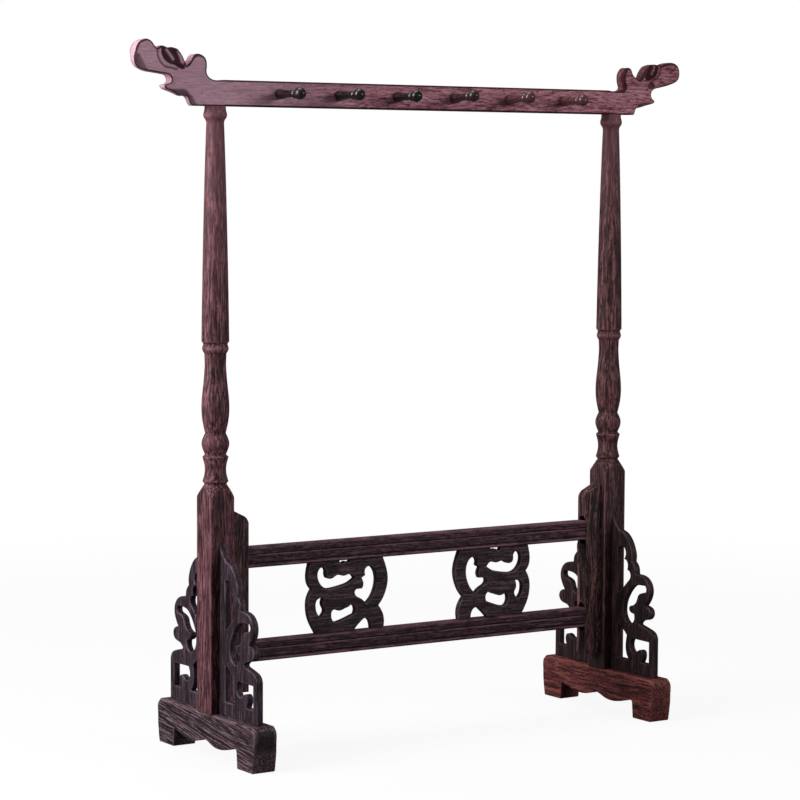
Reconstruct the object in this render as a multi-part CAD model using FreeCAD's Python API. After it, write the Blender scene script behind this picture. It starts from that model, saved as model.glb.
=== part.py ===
import FreeCAD, Part
import math
import os

Vector = FreeCAD.Vector

# Millimetres. X runs along the crossbeam, the pegs point to -Y, and Z is up. The origin is on the table,
# midway between the posts and between the ends of the feet.

# Fits
glue_gap = 0.05
depth_gap = 0.4
lift_clearance = 0.1

# Feet
post_spacing = 297.0
foot_length = 120.0
foot_height = 27.3
foot_thickness = 15.8
foot_end_taper = 2.7
foot_edge_radius = 1.2
arch_half_width = 39.5
arch_height = 11.4
arch_lobe_drop = 3.7
arch_corner = 1.2

# Posts
post_length = 365.1
post_width = 16.9
post_block_length = 131.1
post_shoulder_length = 7.8
post_arris = 0.3
foot_tenon_width = 9.0
foot_tenon_length = 11.0
beam_tenon_diameter = 5.0
beam_tenon_length = 10.0

# Cheeks
cheek_width = 12.0
cheek_thickness = 9.4
cheek_bottom_height = 38.0
cheek_length = 112.3
cheek_top_fall = 6.0
cheek_corner_radius = 2.6
cheek_tongue_thickness = 4.0
cheek_tongue_depth = 2.0
cheek_tongue_inset = 8.0

# Rails
rail_height = 12.8
rail_thickness = 8.4
lower_rail_height = 56.0
upper_rail_height = 113.75
rail_tenon_thickness = 6.8
rail_tenon_length = 7.5
rail_tenon_shoulder = 0.5

# Ornaments
ornament_inner_edge = 25.5
ornament_width = 59.0
ornament_thickness = 4.5
ornament_tongue_width = 14.0
ornament_tongue_thickness = 2.4
ornament_tongue_depth = 2.0
ornament_top_tongue_share = 0.79
ornament_bottom_tongue_share = 0.66

# Brackets
bracket_reach = 44.9
bracket_height = 103.2
bracket_thickness = 4.5
bracket_tongue_thickness = 3.0
bracket_tongue_depth = 1.5
bracket_tongue_height = 90.0
bracket_tongue_reach = 40.0

# Crossbeam
beam_height = 15.6
beam_thickness = 8.5
ear_reach = 54.3
ear_rise = 20.9

# Pegs
peg_count = 6
peg_pitch = 42.6
peg_length = 26.4
peg_ball_diameter = 7.4
peg_spigot_diameter = 4.0
peg_spigot_length = 5.6

# Places that follow from the sizes above
post_x = post_spacing / 2
post_face = post_width / 2
beam_underside = foot_height + post_length
cheek_inner_x = post_x - post_face - cheek_width
bay_height = upper_rail_height - lower_rail_height - rail_height


def edge_through(points):
    """A line through two points, an arc through three, or a smooth curve through more."""
    if len(points) == 2:
        return Part.makeLine(points[0], points[1])
    if len(points) == 3:
        return Part.Arc(points[0], points[1], points[2]).toShape()
    curve = Part.BSplineCurve()
    curve.interpolate(points)
    return curve.toShape()


def outline_face(runs, place):
    """A flat face inside runs of drawn points. Each run starts where the one before it ends."""
    edges = []
    for index, run in enumerate(runs):
        start = runs[index - 1][-1]
        edges.append(edge_through([place(along, up) for along, up in [start] + run]))
    return Part.Face(Part.Wire(edges))


def closed_by_mirror(half_runs, start):
    """A whole outline from one half: the half's runs, then their mirror images going back to the start."""
    corners = [start] + [run[-1] for run in half_runs]
    back_runs = []
    for index in range(len(half_runs) - 1, -1, -1):
        points = half_runs[index][:-1][::-1] + [corners[index]]
        back_runs.append([(-across, up) for across, up in points])
    far_corner = (-corners[-1][0], corners[-1][1])
    closing = [[start]] if start[0] else []
    return half_runs + [[far_corner]] + back_runs + closing


def drawn_to_size(runs, across_scale, up_scale):
    return [[(across * across_scale, up * up_scale) for across, up in run] for run in runs]


def pierced_plate(outer, holes, place, direction):
    plate = outline_face(outer, place).extrude(direction)
    for hole in holes:
        plate = plate.cut(outline_face(hole, place).extrude(direction))
    return plate


def box_between(low, high):
    size = [b - a for a, b in zip(low, high)]
    return Part.makeBox(size[0], size[1], size[2], Vector(*low))


def centred_box(centre, size):
    low = [c - s / 2 for c, s in zip(centre, size)]
    high = [c + s / 2 for c, s in zip(centre, size)]
    return box_between(low, high)


def turned(runs, centre, axis, radial):
    """A solid of revolution. The runs hold (distance along the axis, radius), from axis to axis."""
    def place(along, radius):
        return centre + axis * along + radial * radius
    return outline_face(runs, place).revolve(centre, axis, 360)


def mirrored_in_x(shape):
    return shape.mirror(Vector(0, 0, 0), Vector(1, 0, 0))


def mirrored_in_y(shape):
    return shape.mirror(Vector(0, 0, 0), Vector(0, 1, 0))


# Feet

# The underside's curve outward from the middle, as shares of the arch's half width and of the lobe's drop
arch_scallop_shares = [(0.09, 0.72), (0.23, 0.24), (0.42, 0.0), (0.61, 0.20), (0.79, 0.62)]

# The end's swelling, as shares of the end's taper, back from the tip, and of the height
foot_end_shares = [(0.45, 0.33), (0.0, 0.68), (0.15, 0.89), (1.3, 1.0)]


def foot_outline():
    """The scalloped side of a foot, from the middle cusp round one half to the top, and its mirror."""
    half = foot_length / 2
    low = arch_height - arch_lobe_drop
    scallop = [(share * arch_half_width, low + rise * arch_lobe_drop) for share, rise in arch_scallop_shares]
    end = [(half - share * foot_end_taper, rise * foot_height) for share, rise in foot_end_shares]
    half_runs = [
        scallop + [(arch_half_width - 2 * arch_corner, arch_height)],
        [(arch_half_width - 1.2 * arch_corner, arch_height - 0.3 * arch_corner),
         (arch_half_width - 0.8 * arch_corner, arch_height - arch_corner)],
        [(arch_half_width, 0)],
        [(half - foot_end_taper, 0)],
        end,
    ]
    return closed_by_mirror(half_runs, (0, arch_height))


def foot():
    left_face = -post_x - foot_thickness / 2
    body = outline_face(foot_outline(), lambda y, z: Vector(left_face, y, z))
    body = body.extrude(Vector(foot_thickness, 0, 0))
    rounded = [edge for edge in body.Edges if is_outer_edge_of_foot(edge)]
    body = body.makeFillet(foot_edge_radius, rounded)
    mortise_depth = foot_tenon_length + depth_gap
    mortise_width = foot_tenon_width + 2 * glue_gap
    mortise = centred_box((-post_x, 0, foot_height - mortise_depth / 2),
                          (mortise_width, mortise_width, mortise_depth))
    groove_end = post_face + bracket_tongue_reach + glue_gap
    groove = centred_box((-post_x, 0, foot_height),
                         (bracket_tongue_thickness + 2 * glue_gap, 2 * groove_end,
                          2 * (bracket_tongue_depth + depth_gap)))
    return body.cut(mortise).cut(groove)


def is_outer_edge_of_foot(edge):
    """True for the edges round the ends and the top of a foot's two sides, which are the worn ones."""
    box = edge.BoundBox
    lies_in_side = box.XLength < foot_edge_radius
    return lies_in_side and box.ZMax > foot_height / 2


# Posts

# The shaft's turned profile, from its head down: runs of (distance below the crossbeam, radius)
post_turning = [
    [(0, 0)],
    [(0, 6.1)],
    [(1.5, 6.3), (3.2, 6.9), (4.9, 7.15), (6.6, 6.7), (8.2, 5.8)],
    [(9.6, 5.4), (11.4, 5.4)],
    [(32.0, 6.1), (68.0, 7.05), (104.0, 7.8), (140.3, 8.35)],
    [(141.8, 7.25)],
    [(143.2, 7.7), (144.7, 8.0), (146.3, 7.5), (147.6, 6.65)],
    [(154.2, 6.4)],
    [(164.3, 7.1), (179.5, 8.4), (188.8, 7.7), (195.6, 6.2)],
    [(201.7, 8.35), (207.9, 6.55)],
    [(208.6, 6.55)],
    [(209.9, 7.9)],
    [(217.7, 6.4), (224.7, 7.85)],
    [(226.2, 6.6)],
    [(226.2, 0)],
]
post_drawn_shaft_length = 226.2
post_drawn_width = 16.9


def post():
    """A square block with a turned cone for its shoulder, a turned shaft above, and a tenon at each end."""
    top = Vector(-post_x, 0, beam_underside)
    down = Vector(0, 0, -1)
    out = Vector(1, 0, 0)
    shaft_length = post_length - post_block_length - post_shoulder_length
    length_scale = shaft_length / post_drawn_shaft_length
    width_scale = post_width / post_drawn_width
    shaft_runs = drawn_to_size(post_turning, length_scale, width_scale)
    shaft = turned(shaft_runs, top, down, out)
    neck = shaft_runs[-2][0]
    corner_radius = math.hypot(post_face, post_face) - post_arris
    shoulder_runs = [
        [(shaft_length, 0)],
        [neck],
        [(post_length - post_block_length, corner_radius)],
        [(post_length, corner_radius)],
        [(post_length, 0)],
    ]
    block = turned(shoulder_runs, top, down, out)
    block = block.common(centred_box((-post_x, 0, beam_underside / 2),
                                     (post_width, post_width, beam_underside)))
    body = shaft.fuse(block)
    body = body.fuse(Part.makeCylinder(beam_tenon_diameter / 2, beam_tenon_length, top))
    body = body.fuse(centred_box((-post_x, 0, foot_height - foot_tenon_length / 2),
                                 (foot_tenon_width, foot_tenon_width, foot_tenon_length)))
    groove_top = foot_height + bracket_tongue_height + glue_gap
    groove_depth = bracket_tongue_depth + depth_gap
    for facing in (-1, 1):
        bracket_groove = centred_box((-post_x, facing * post_face, groove_top / 2),
                                     (bracket_tongue_thickness + 2 * glue_gap, 2 * groove_depth, groove_top))
        body = body.cut(bracket_groove)
    tongue_bottom, tongue_top = cheek_tongue_ends()
    cheek_groove = centred_box((-post_x + post_face, 0, (tongue_bottom + tongue_top) / 2),
                               (2 * (cheek_tongue_depth + depth_gap), cheek_tongue_thickness + 2 * glue_gap,
                                tongue_top - tongue_bottom + 2 * glue_gap))
    return body.cut(cheek_groove).removeSplitter()


# Cheeks

def cheek_tongue_ends():
    bottom = cheek_bottom_height + cheek_tongue_inset
    top = cheek_bottom_height + cheek_length - cheek_tongue_inset
    return bottom, top


def rail_slot(rail_bottom):
    """The routed, round-ended mortise in the left cheek. The tenon fills its straight part."""
    radius = rail_tenon_thickness / 2 + glue_gap
    depth = rail_tenon_length + depth_gap
    middle = rail_bottom + rail_height / 2
    half_straight = rail_height / 2 - rail_tenon_shoulder + glue_gap
    slot = centred_box((-cheek_inner_x - depth / 2, 0, middle), (depth, 2 * radius, 2 * half_straight))
    for end in (-1, 1):
        centre = Vector(-cheek_inner_x - depth, 0, middle + end * half_straight)
        slot = slot.fuse(Part.makeCylinder(radius, depth, centre, Vector(1, 0, 0)))
    return slot


def cheek():
    outer = -post_x + post_face
    inner = -cheek_inner_x
    top = cheek_bottom_height + cheek_length
    corner_top = top - cheek_top_fall
    front = -cheek_thickness / 2
    radius = cheek_corner_radius
    slope = cheek_top_fall / cheek_width
    arc_middle = radius * (1 - math.sqrt(0.5))
    runs = [
        [(outer, cheek_bottom_height)],
        [(inner, cheek_bottom_height)],
        [(inner, corner_top - radius)],
        [(inner - arc_middle, corner_top - arc_middle), (inner - radius, corner_top + slope * radius)],
        [(outer, top)],
    ]
    body = outline_face(runs, lambda x, z: Vector(x, front, z)).extrude(Vector(0, cheek_thickness, 0))
    tongue_bottom, tongue_top = cheek_tongue_ends()
    body = body.fuse(box_between((outer - cheek_tongue_depth, -cheek_tongue_thickness / 2, tongue_bottom),
                                 (outer, cheek_tongue_thickness / 2, tongue_top)))
    for rail_bottom in (lower_rail_height, upper_rail_height):
        body = body.cut(rail_slot(rail_bottom))
    return body.removeSplitter()


# Rails

# Half of the moulded section, as runs of (distance from the middle plane, height): a bead along the bottom,
# a sunk panel, a groove and a rounded top edge
rail_moulding_start = (3.7, 0)
rail_moulding = [
    [(4.2, 0.5)],
    [(4.3, 0.85), (4.2, 1.6)],
    [(3.6, 2.3)],
    [(4.1, 2.9)],
    [(4.1, 6.8)],
    [(3.6, 7.4)],
    [(4.2, 8.0)],
    [(4.2, 10.8)],
    [(3.85, 11.65), (3.0, 12.0)],
]
rail_drawn_thickness = 8.4
rail_drawn_height = 12.0


def ornament_tongue_places():
    """Where the top and bottom tongues of an ornament are centred, from the middle of the rack."""
    top = ornament_inner_edge + ornament_top_tongue_share * ornament_width
    bottom = ornament_inner_edge + ornament_bottom_tongue_share * ornament_width
    return top, bottom


def rail(bottom):
    thickness_scale = rail_thickness / rail_drawn_thickness
    height_scale = rail_height / rail_drawn_height
    section = closed_by_mirror(rail_moulding, rail_moulding_start)
    section = drawn_to_size(section, thickness_scale, height_scale)
    body = outline_face(section, lambda y, z: Vector(-cheek_inner_x, y, bottom + z))
    body = body.extrude(Vector(2 * cheek_inner_x, 0, 0))
    tenon_height = rail_height - 2 * rail_tenon_shoulder
    tenon = centred_box((0, 0, bottom + rail_height / 2),
                        (2 * (cheek_inner_x + rail_tenon_length), rail_tenon_thickness, tenon_height))
    return body.fuse(tenon)


def tongue_slot(centre_x, mouth_height):
    return centred_box((centre_x, 0, mouth_height),
                       (ornament_tongue_width + 2 * glue_gap, ornament_tongue_thickness + 2 * glue_gap,
                        2 * (ornament_tongue_depth + depth_gap)))


def upper_rail():
    body = rail(upper_rail_height)
    top_place = ornament_tongue_places()[0]
    for side in (-1, 1):
        body = body.cut(tongue_slot(side * top_place, upper_rail_height))
    return body.removeSplitter()


def lower_rail():
    body = rail(lower_rail_height)
    bottom_place = ornament_tongue_places()[1]
    for side in (-1, 1):
        body = body.cut(tongue_slot(side * bottom_place, lower_rail_height + rail_height))
    return body.removeSplitter()


# Ornaments

ornament_drawn_size = (59.0, 45.7)

ornament_outer = [
    [(2.7, 4.7), (3.8, 9.7), (6.9, 14.7)],
    [(4.3, 18.0), (1.5, 23.7), (0.0, 31.2), (0.9, 37.7), (3.8, 45.7)],
    [(27.5, 45.7)],
    [(28.8, 44.2), (31.5, 44.6), (34.3, 43.3), (36.0, 45.7)],
    [(57.3, 45.7)],
    [(58.9, 37.2), (57.5, 30.7), (55.8, 28.5)],
    [(58.3, 23.4), (59.0, 17.6), (57.8, 10.2), (52.6, 0.0)],
    [(25.3, 0.0)],
    [(22.0, 3.5), (19.5, 5.7), (17.3, 7.1), (14.8, 6.5), (13.1, 4.2), (12.3, 0.0)],
    [(3.1, 0.0)],
]

ornament_holes = [
    [
        [(26.5, 35.5), (28.5, 36.2), (32.0, 35.4), (37.5, 36.2), (40.0, 34.9), (42.8, 34.2), (45.0, 35.0)],
        [(45.8, 37.4), (45.8, 39.7), (47.4, 41.6), (49.8, 41.4), (51.6, 38.5), (51.4, 34.9), (48.5, 30.2),
         (45.5, 28.5), (40.5, 28.4), (32.5, 29.8), (29.3, 30.7), (24.8, 33.4)],
    ],
    [
        [(11.3, 39.0), (8.9, 34.0), (8.9, 28.2), (10.3, 23.7), (12.8, 19.5), (16.0, 16.5)],
        [(18.8, 19.2), (21.5, 20.8), (23.8, 22.4), (24.4, 25.0), (23.3, 26.2)],
        [(19.0, 26.3)],
        [(18.1, 29.2), (19.4, 33.2)],
        [(16.7, 34.7)],
        [(17.2, 37.2), (16.2, 39.4), (13.5, 40.5)],
    ],
    [
        [(52.3, 21.2), (53.1, 17.6), (51.8, 12.8), (49.5, 10.2)],
        [(46.8, 15.0), (48.0, 17.4), (48.3, 19.7), (47.5, 22.4)],
        [(49.5, 22.7)],
    ],
    [
        [(24.5, 15.0), (24.1, 12.7), (24.7, 10.6)],
        [(32.5, 7.8), (36.5, 6.7), (39.5, 6.7), (41.2, 8.5), (41.7, 11.2), (41.0, 13.7), (39.3, 14.6)],
        [(35.5, 13.4), (31.5, 14.6), (28.7, 15.6), (27.3, 16.8)],
        [(26.3, 16.7)],
    ],
]


def ornament():
    """The right ornament: two pairs of lobes round two small scrolls, pierced, with two short tongues."""
    stretch_x = ornament_width / ornament_drawn_size[0]
    stretch_z = bay_height / ornament_drawn_size[1]
    bay_bottom = lower_rail_height + rail_height
    front = -ornament_thickness / 2

    def place(along, up):
        return Vector(ornament_inner_edge + along * stretch_x, front, bay_bottom + up * stretch_z)

    body = pierced_plate(ornament_outer, ornament_holes, place, Vector(0, ornament_thickness, 0))
    top_place, bottom_place = ornament_tongue_places()
    tongue = (ornament_tongue_width, ornament_tongue_thickness, 2 * ornament_tongue_depth)
    body = body.fuse(centred_box((top_place, 0, upper_rail_height), tongue))
    body = body.fuse(centred_box((bottom_place, 0, bay_bottom), tongue))
    return body.removeSplitter()


# Brackets

bracket_drawn_size = (44.9, 103.2)

bracket_outer = [
    [(44.9, 0.0)],
    [(44.9, 25.7)],
    [(43.4, 28.7), (39.9, 30.7), (34.4, 32.1), (29.9, 33.1)],
    [(29.2, 33.9), (29.9, 34.7)],
    [(31.9, 36.1), (36.1, 37.1), (39.6, 38.5), (41.2, 41.0), (40.8, 43.7), (38.6, 45.6), (35.1, 46.4)],
    [(36.9, 48.7), (38.9, 52.0), (39.9, 56.2), (38.6, 60.7), (35.4, 64.0), (30.4, 65.7), (25.3, 66.0)],
    [(24.6, 70.4), (21.5, 73.9)],
    [(21.8, 76.9), (20.6, 82.0), (16.9, 88.2), (12.0, 92.0), (7.6, 93.3)],
    [(3.4, 97.6), (0.0, 103.2)],
    [(0.0, 0.0)],
]

bracket_holes = [
    [
        [(14.3, 79.9), (14.2, 76.7), (12.7, 74.7)],
        [(15.9, 73.2), (16.8, 70.8), (16.1, 67.7)],
        [(18.8, 66.6), (19.6, 63.7), (16.9, 60.2), (11.9, 55.7), (6.9, 52.2)],
        [(6.9, 82.2)],
        [(12.9, 82.2)],
    ],
    [
        [(27.9, 59.1), (23.9, 58.3), (19.9, 55.7), (16.4, 51.7), (13.9, 47.7), (12.4, 43.2), (12.4, 39.2),
         (13.9, 35.7), (16.9, 33.0), (20.4, 32.7), (22.9, 34.2), (24.2, 36.7), (23.9, 39.5)],
        [(20.9, 40.0), (18.9, 41.7), (18.9, 43.7), (21.9, 44.9)],
        [(24.9, 46.7), (26.9, 49.7), (28.3, 52.6), (31.1, 54.1), (35.7, 55.2)],
        [(36.5, 57.3), (35.4, 59.3)],
    ],
    [
        [(39.9, 23.0)],
        [(21.9, 23.2)],
        [(20.3, 19.8), (21.2, 15.9), (23.9, 14.2), (26.9, 15.0), (29.9, 16.7), (32.4, 16.4), (33.5, 14.0),
         (33.2, 11.2), (31.9, 8.7)],
        [(39.9, 8.7)],
    ],
    [
        [(12.9, 27.7), (16.4, 24.7)],
        [(15.6, 20.6), (15.5, 15.6), (16.7, 11.8), (18.9, 8.7)],
        [(6.9, 8.7)],
        [(6.9, 31.0)],
    ],
]


def bracket():
    """The back left bracket, with a tongue in the post and a tongue in the foot."""
    stretch_y = bracket_reach / bracket_drawn_size[0]
    stretch_z = bracket_height / bracket_drawn_size[1]
    left_face = -post_x - bracket_thickness / 2

    def place(along, up):
        return Vector(left_face, post_face + along * stretch_y, foot_height + up * stretch_z)

    body = pierced_plate(bracket_outer, bracket_holes, place, Vector(bracket_thickness, 0, 0))
    half_tongue = bracket_tongue_thickness / 2
    body = body.fuse(box_between((-post_x - half_tongue, post_face - bracket_tongue_depth, foot_height),
                                 (-post_x + half_tongue, post_face, foot_height + bracket_tongue_height)))
    body = body.fuse(box_between((-post_x - half_tongue, post_face, foot_height - bracket_tongue_depth),
                                 (-post_x + half_tongue, post_face + bracket_tongue_reach, foot_height)))
    return body.removeSplitter()


# Crossbeam

# An ear's reach beyond the post, its rise above the crossbeam, and the crossbeam's height
ear_drawn_size = (54.3, 21.5, 13.9)
ear_drawn_start = (4.0, 13.9)

ear_runs = [
    [(6.6, 14.5), (7.9, 17.5), (7.0, 21.8), (7.2, 25.0), (9.0, 27.9), (12.5, 29.3), (15.0, 27.6),
     (15.9, 24.8), (18.0, 22.9), (21.0, 22.1)],
    [(22.8, 25.4), (25.6, 29.2), (29.5, 32.0), (33.0, 32.2), (36.6, 32.7), (40.9, 31.6)],
    [(43.2, 33.9), (47.1, 35.4), (50.9, 34.4), (53.6, 31.3), (54.3, 27.6), (53.2, 23.4), (50.2, 20.4),
     (46.3, 18.8), (38.7, 17.4), (33.7, 16.1), (31.0, 14.0), (30.4, 11.8), (31.4, 10.0), (33.75, 8.5)],
    [(34.1, 7.5), (33.1, 6.6)],
    [(28.4, 5.0), (23.0, 3.9), (18.8, 3.2)],
    [(17.5, 1.8), (16.6, 0.0)],
]


def ear_point(along, up):
    """Turns a drawn point into (x, height above the underside of the crossbeam) on the right ear."""
    drawn_reach, drawn_rise, drawn_height = ear_drawn_size
    x = post_x + along * ear_reach / drawn_reach
    if up <= drawn_height:
        return x, up * beam_height / drawn_height
    return x, beam_height + (up - drawn_height) * ear_rise / drawn_rise


def crossbeam_outline():
    right_half = [[ear_point(*point) for point in run] for run in ear_runs]
    return closed_by_mirror(right_half, ear_point(*ear_drawn_start))


def peg_places():
    first = -peg_pitch * (peg_count - 1) / 2
    return [first + index * peg_pitch for index in range(peg_count)]


def crossbeam():
    front = -beam_thickness / 2
    body = outline_face(crossbeam_outline(), lambda x, z: Vector(x, front, beam_underside + z))
    body = body.extrude(Vector(0, beam_thickness, 0))
    for side in (-1, 1):
        body = body.cut(Part.makeCylinder(beam_tenon_diameter / 2 + lift_clearance,
                                          beam_tenon_length + depth_gap,
                                          Vector(side * post_x, 0, beam_underside)))
    for x in peg_places():
        mouth = Vector(x, front, beam_underside + beam_height / 2)
        body = body.cut(Part.makeCylinder(peg_spigot_diameter / 2 + glue_gap, peg_spigot_length + depth_gap,
                                          mouth, Vector(0, 1, 0)))
    return body


# Pegs

# The turned profile outward, with a thick collar, slim shank, ring and ball: runs of (distance out, radius)
peg_turning = [
    [(0, 3.1)],
    [(1.6, 3.2), (3.6, 3.0)],
    [(6.0, 2.6), (9.5, 2.3), (13.5, 2.15), (16.8, 2.15)],
    [(17.1, 2.8)],
    [(17.6, 3.0), (18.1, 2.8)],
    [(19.0, 2.4)],
    [(20.5, 3.25), (22.7, 3.7), (25.1, 2.65), (26.25, 0.8)],
    [(26.4, 0)],
]
peg_drawn_length = 26.4
peg_drawn_diameter = 7.4


def peg(x):
    root = Vector(x, -beam_thickness / 2, beam_underside + beam_height / 2)
    spigot_radius = peg_spigot_diameter / 2
    spigot_runs = [
        [(-peg_spigot_length, 0)],
        [(-peg_spigot_length, spigot_radius)],
        [(0, spigot_radius)],
    ]
    length_scale = peg_length / peg_drawn_length
    width_scale = peg_ball_diameter / peg_drawn_diameter
    shown_runs = drawn_to_size(peg_turning, length_scale, width_scale)
    return turned(spigot_runs + shown_runs, root, Vector(0, -1, 0), Vector(1, 0, 0))


def main():
    os.makedirs("parts", exist_ok=True)
    left_post = post()
    left_foot = foot()
    left_cheek = cheek()
    right_ornament = ornament()
    left_back_bracket = bracket()
    left_front_bracket = mirrored_in_y(left_back_bracket)
    pieces = {
        "crossbeam": crossbeam(),
        "left_post": left_post,
        "right_post": mirrored_in_x(left_post),
        "left_cheek": left_cheek,
        "right_cheek": mirrored_in_x(left_cheek),
        "upper_rail": upper_rail(),
        "lower_rail": lower_rail(),
        "left_ornament": mirrored_in_x(right_ornament),
        "right_ornament": right_ornament,
        "left_front_bracket": left_front_bracket,
        "left_back_bracket": left_back_bracket,
        "right_front_bracket": mirrored_in_x(left_front_bracket),
        "right_back_bracket": mirrored_in_x(left_back_bracket),
        "left_foot": left_foot,
        "right_foot": mirrored_in_x(left_foot),
    }
    for index, x in enumerate(peg_places()):
        pieces["peg_%d" % (index + 1)] = peg(x)
    for name, shape in pieces.items():
        solids = shape.Solids
        print(name, "solids", len(solids), "valid", shape.isValid(), "volume", round(shape.Volume, 1))
        shape.exportStep("parts/%s.step" % name)


main()
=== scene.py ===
# %% [markdown]
# # A Chinese brush rack in Blender
# A brush rack is a small frame for writing brushes: they hang by their cord loops from pegs, tips down, so that
# they dry straight. This one is dark, open-grained wood, cut thin, carved at the ears of its crossbeam and pierced
# below. The CAD model says where each piece is, so the lesson only makes the surfaces that the eye sees: rounded
# edges, carving and wood. Everything is in metres, with the pegs towards -Y and the table at Z = 0.

# %% Load the frame
import math

import bmesh
import bpy
import numpy as np
from mathutils import Matrix, Vector, noise
from mathutils.geometry import delaunay_2d_cdt


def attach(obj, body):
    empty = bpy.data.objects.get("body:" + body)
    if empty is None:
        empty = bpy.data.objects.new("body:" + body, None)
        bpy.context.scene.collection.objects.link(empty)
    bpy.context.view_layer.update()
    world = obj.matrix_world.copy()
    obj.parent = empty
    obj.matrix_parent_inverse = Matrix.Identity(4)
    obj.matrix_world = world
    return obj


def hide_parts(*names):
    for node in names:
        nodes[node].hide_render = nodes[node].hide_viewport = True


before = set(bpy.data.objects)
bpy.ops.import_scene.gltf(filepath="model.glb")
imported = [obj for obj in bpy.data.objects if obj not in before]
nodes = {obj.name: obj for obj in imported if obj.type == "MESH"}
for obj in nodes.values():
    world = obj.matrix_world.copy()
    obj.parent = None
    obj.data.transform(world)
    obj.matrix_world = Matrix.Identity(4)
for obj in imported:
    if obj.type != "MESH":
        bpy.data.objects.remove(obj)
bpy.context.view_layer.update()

mm = 0.001

# %% [markdown]
# ## Camera
# A long lens keeps the posts upright. The camera stands a little higher than the middle of the rack, to its front
# left, so the left sides of the pieces show as well as their fronts.

# %% Camera
def in_scene(name, data):
    """A new object in the scene, round a camera, a lamp or a mesh."""
    made = bpy.data.objects.new(name, data)
    bpy.context.scene.collection.objects.link(made)
    return made


camera_place = Vector((-0.96430, -1.44612, 0.34789))
azimuth = math.radians(-33.26)
elevation = math.radians(4.51)
roll = math.radians(0.25)
sensor_width = 36.0
focal_in_pixels = 2765
picture_width = 800

back = Vector((math.sin(azimuth) * math.cos(elevation), -math.cos(azimuth) * math.cos(elevation),
               math.sin(elevation)))
right = Vector((math.cos(azimuth), math.sin(azimuth), 0))
up = back.cross(right)
rolled_right = right * math.cos(roll) + up * math.sin(roll)
rolled_up = up * math.cos(roll) - right * math.sin(roll)

lens = bpy.data.cameras.new("camera")
lens.sensor_width = sensor_width
lens.lens = sensor_width * focal_in_pixels / picture_width
camera = in_scene("camera", lens)
turn = Matrix((rolled_right, rolled_up, back)).transposed().to_4x4()
camera.matrix_world = Matrix.Translation(camera_place) @ turn
bpy.context.scene.camera = camera
print("lens", round(lens.lens, 1), "mm")

# %% [markdown]
# ## One way to write node trees
# Shader maths reads best as an expression. A Value wraps one output socket, and its operators add Math nodes, so
# 1 - mask or streak * 0.4 + pores can be written as they are thought. Every other node comes from Graph.node,
# which takes the node's type, its settings and the values or links of its sockets. Shaders and Geometry Nodes
# share both classes.

# %% A graph and its values
class Value:
    """What comes out of one socket."""
    def __init__(self, graph, socket):
        self.graph = graph
        self.socket = socket

    def math(self, operation, *values):
        return self.graph.node("ShaderNodeMath", {"operation": operation}, values)

    def __add__(self, other):
        return self.math("ADD", self, other)

    def __sub__(self, other):
        return self.math("SUBTRACT", self, other)

    def __rsub__(self, other):
        return self.math("SUBTRACT", other, self)

    def __mul__(self, other):
        return self.math("MULTIPLY", self, other)

    def __truediv__(self, other):
        return self.math("DIVIDE", self, other)

    __radd__ = __add__
    __rmul__ = __mul__

    def least(self, other):
        return self.math("MINIMUM", self, other)

    def most(self, other):
        return self.math("MAXIMUM", self, other)

    def size(self):
        return self.math("ABSOLUTE", self)

    def floor(self):
        return self.math("FLOOR", self)

    def step_between(self, low, high):
        """0 below low, 1 above high, and a smooth rise between them."""
        return self.graph.node("ShaderNodeMapRange", {"interpolation_type": "SMOOTHSTEP"},
                               {"Value": self, "From Min": low, "From Max": high})

    def other(self, output):
        return Value(self.graph, self.socket.node.outputs[output])


class Graph:
    """Adds nodes to one node tree."""
    def __init__(self, tree):
        self.tree = tree

    def node(self, kind, settings=None, sockets=None, output=0):
        made = self.tree.nodes.new(kind)
        for setting, value in (settings or {}).items():
            setattr(made, setting, value)
        pairs = sockets.items() if isinstance(sockets, dict) else enumerate(sockets or ())
        for key, value in pairs:
            if isinstance(value, Value):
                self.tree.links.new(value.socket, made.inputs[key])
            else:
                made.inputs[key].default_value = value
        return Value(self, made.outputs[output]) if made.outputs else None

    def ramp(self, factor, stops):
        made = self.node("ShaderNodeValToRGB", {}, {"Fac": factor})
        elements = made.socket.node.color_ramp.elements
        while len(elements) < len(stops):
            elements.new(0.5)
        for element, (place, colour) in zip(elements, stops):
            element.position = place
            element.color = (*colour, 1)
        return made

    def mix(self, factor, first, second):
        """Between two colours."""
        first, second = [v if isinstance(v, Value) else (*v, 1) for v in (first, second)]
        return self.node("ShaderNodeMix", {"data_type": "RGBA"}, {0: factor, 6: first, 7: second}, output=2)

    def scaled(self, vector, factors):
        return self.node("ShaderNodeVectorMath", {"operation": "MULTIPLY"}, [vector, factors])


print("graph helpers ready")

# %% [markdown]
# ## The studio
# The rack stands on a pale table. The floor near it is plain white with a small share of diffuse surface, which
# keeps a faint shadow, and further out it is pure white, so that no horizon shows. To every ray but the camera's it
# is only a dim grey, or it would light these dark woods from below. Three soft lamps do the rest: one close by on
# the left, which fades towards the right end, one at the front right, so that the fronts don't go black, and one
# above.

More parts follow.
